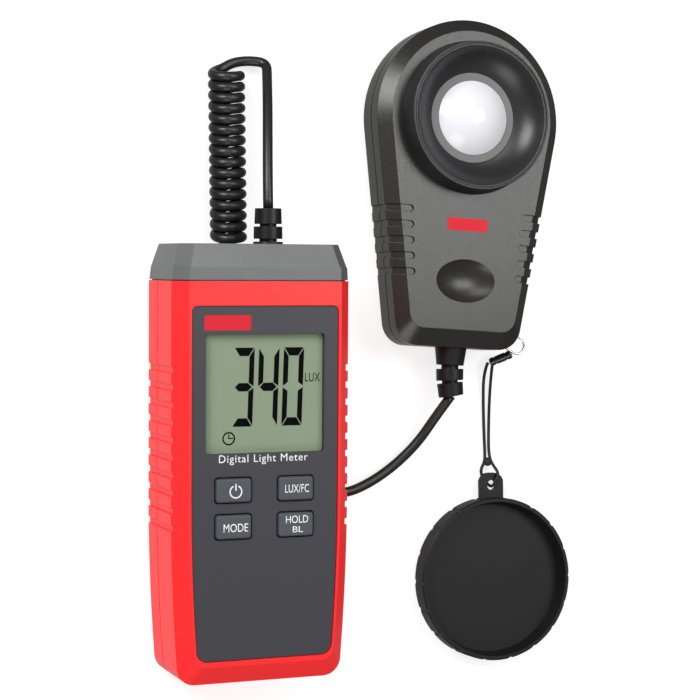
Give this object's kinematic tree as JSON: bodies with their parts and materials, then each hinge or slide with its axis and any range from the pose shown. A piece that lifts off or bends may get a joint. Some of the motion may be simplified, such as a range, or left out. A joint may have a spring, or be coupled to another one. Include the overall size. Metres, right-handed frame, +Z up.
{
  "type": "two-piece digital light meter",
  "caption": "Hand-held digital light meter: red display unit, curly lead, separate sensor head with a white diffuser dome, and a tethered dust cap.",
  "frame": {"origin": "on the table, under the middle of the bounding box of everything but the free lead and the lanyard cord", "axes": "+Y from the foot of the display unit towards its top, +X from the display unit towards the sensor head, +Z up from the table; both housings lie on their backs"},
  "size_m": [0.1287, 0.1858, 0.0338],
  "materials": {
    "red_shell": "fine texture",
    "grey_cap": "satin",
    "dark_panel": "satin",
    "clear_window": "clear",
    "lcd": "grey-green display",
    "white_diffuser_plate": "matt",
    "black_rubber": "matt",
    "key_rubber": "matt",
    "connector_rubber": "matt",
    "circuit_board": "solder mask",
    "chip_black": "moulded",
    "black_plastic": "fine texture",
    "cell_jacket": "printed sleeve",
    "spring_steel": "plated",
    "cord_jacket": "smooth jacket",
    "head_grey": "fine texture",
    "ring_grey": "satin",
    "opal_white": "opal",
    "filter_green": "polished",
    "wire_steel": "bright",
    "crimp_black": "bright bands",
    "lanyard_fibre": "braided"
  },
  "bodies": {
    "display_unit": {"front_shell": "red_shell", "rear_shell": "red_shell", "top_cap": "grey_cap", "face_panel": "dark_panel", "display_window": "clear_window", "lcd_glass": "lcd", "lcd_backlight": "white_diffuser_plate", "lcd_connector": "connector_rubber", "main_board": "circuit_board", "controller_chip": "chip_black", "keypad_mat": "black_rubber", "battery_tray": "black_plastic", "batteries": "cell_jacket", "battery_contacts": "spring_steel", "case_screws": "spring_steel", "unit_gland": "black_rubber", "cord_lead": "cord_jacket", "cord_coil": "cord_jacket", "cord_tail": "cord_jacket"},
    "battery_cover": {"battery_door": "red_shell"},
    "sensor_head": {"head_front_shell": "head_grey", "head_rear_shell": "head_grey", "light_collar": "black_plastic", "dome_ring": "ring_grey", "diffuser_dome": "opal_white", "filter_holder": "black_plastic", "filter_glass": "filter_green", "photodiode": "chip_black", "sensor_board": "circuit_board", "head_screws": "spring_steel", "head_gland": "black_rubber", "lanyard_pin": "spring_steel", "cord_tail_head": "cord_jacket"},
    "lanyard": {"wire_loop": "wire_steel", "ferrule": "crimp_black", "lanyard_cord": "lanyard_fibre"},
    "dust_cap": {"lens_cap": "black_plastic"},
    "power_key": {"power_button": "key_rubber"},
    "unit_key": {"unit_button": "key_rubber"},
    "mode_key": {"mode_button": "key_rubber"},
    "hold_key": {"hold_button": "key_rubber"}
  },
  "joints": [
    {"name": "power_press", "type": "slide", "parent": "display_unit", "child": "power_key", "axis": [0, 0.0523, -0.9986], "range_m": [0, 0.0008], "stiffness_N_per_m": 800},
    {"name": "unit_press", "type": "slide", "parent": "display_unit", "child": "unit_key", "axis": [0, 0.0523, -0.9986], "range_m": [0, 0.0008], "stiffness_N_per_m": 800},
    {"name": "mode_press", "type": "slide", "parent": "display_unit", "child": "mode_key", "axis": [0, 0.0523, -0.9986], "range_m": [0, 0.0008], "stiffness_N_per_m": 800},
    {"name": "hold_press", "type": "slide", "parent": "display_unit", "child": "hold_key", "axis": [0, 0.0523, -0.9986], "range_m": [0, 0.0008], "stiffness_N_per_m": 800},
    {"name": "door_slide", "type": "slide", "parent": "display_unit", "child": "battery_cover", "axis": [0, -0.9986, -0.0523], "range_m": [0, 0.006]},
    {"name": "sensor_swing", "type": "hinge", "parent": "display_unit", "child": "sensor_head", "pos_m": [-0.0043, -0.0422, 0], "axis": [0, 0, 1], "range_deg": [-15, 8]},
    {"name": "lanyard_swing", "type": "hinge", "parent": "sensor_head", "child": "lanyard", "pos_m": [0.04114, 0.00259, 0], "axis": [0, 0, 1], "range_deg": [-12, 20]},
    {"name": "cap_swing", "type": "hinge", "parent": "lanyard", "child": "dust_cap", "pos_m": [0.0405, -0.0419, 0], "axis": [0, 0, 1], "range_deg": [-14, 18]}
  ]
}
